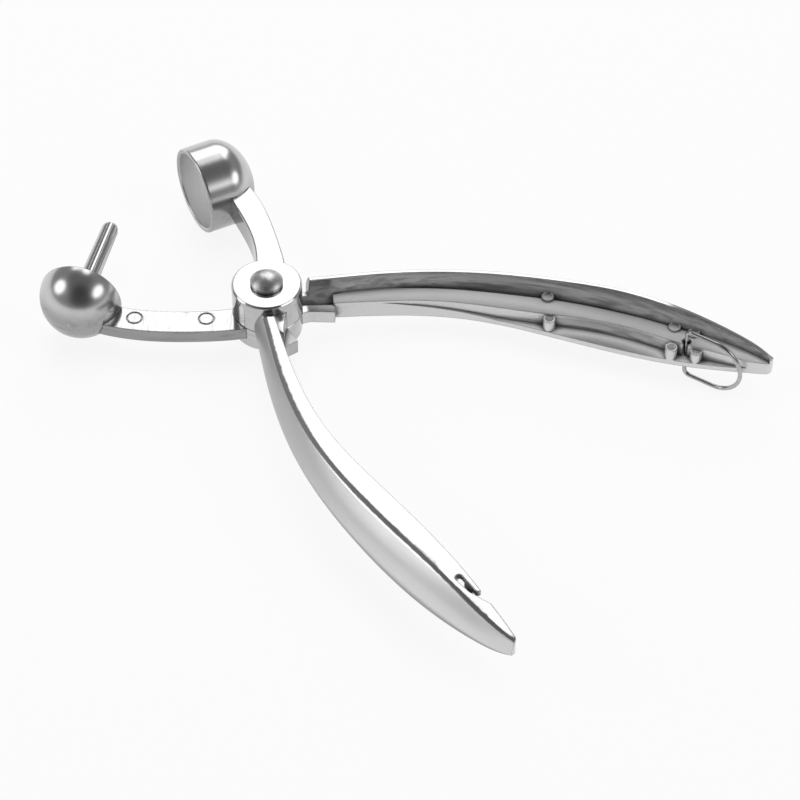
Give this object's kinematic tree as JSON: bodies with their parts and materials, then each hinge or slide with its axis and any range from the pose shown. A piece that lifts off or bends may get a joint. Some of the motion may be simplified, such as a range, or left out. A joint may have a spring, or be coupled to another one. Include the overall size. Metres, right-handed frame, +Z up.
{
  "type": "olive pitter",
  "caption": "Crossed-lever olive pitter in chrome-plated die castings, with an olive cup, a fluted pitting rod, scoop handles and a wire locking bail.",
  "frame": {"origin": "on the rivet's axis, at the height of the lower hub's bottom face", "axes": "+X midway between the two open handles towards their tips, +Y the side of the handle that carries the bail, +Z up along the rivet towards its domed head"},
  "size_m": [0.1583, 0.1124, 0.0233],
  "materials": {
    "plated_casting": "bright chrome plating, satin inside the handles",
    "plated_rod": "chrome plating over fine turning lines",
    "rivet_steel": "dull zinc-plated steel",
    "spring_steel": "drawn spring wire",
    "bail_wire": "bright drawn wire"
  },
  "bodies": {
    "rod_lever": {"rod_lever_hub": "plated_casting", "rod_lever_arm": "plated_casting", "olive_holder": "plated_casting", "rod_lever_handle": "plated_casting", "pitting_rod": "plated_rod", "pivot_rivet": "rivet_steel", "rivet_washer": "rivet_steel", "return_spring": "spring_steel"},
    "cup_lever": {"cup_lever_hub": "plated_casting", "cup_lever_arm": "plated_casting", "olive_cup": "plated_casting", "cup_lever_handle": "plated_casting"},
    "locking_bail": {"locking_bail": "bail_wire"}
  },
  "joints": [
    {"name": "lever_pivot", "type": "hinge", "parent": "rod_lever", "child": "cup_lever", "pos_m": [0, 0, 0.0064], "axis": [0, 0, 1], "range_deg": [0, 51], "stiffness_Nm_per_rad": 0.35, "springref_deg": -28.65, "deforming": ["return_spring"]},
    {"name": "bail_swing", "type": "hinge", "parent": "rod_lever", "child": "locking_bail", "pos_m": [0.0886, 0.049, 0.0033], "axis": [0, 0, 1], "range_deg": [-130, 4]}
  ]
}
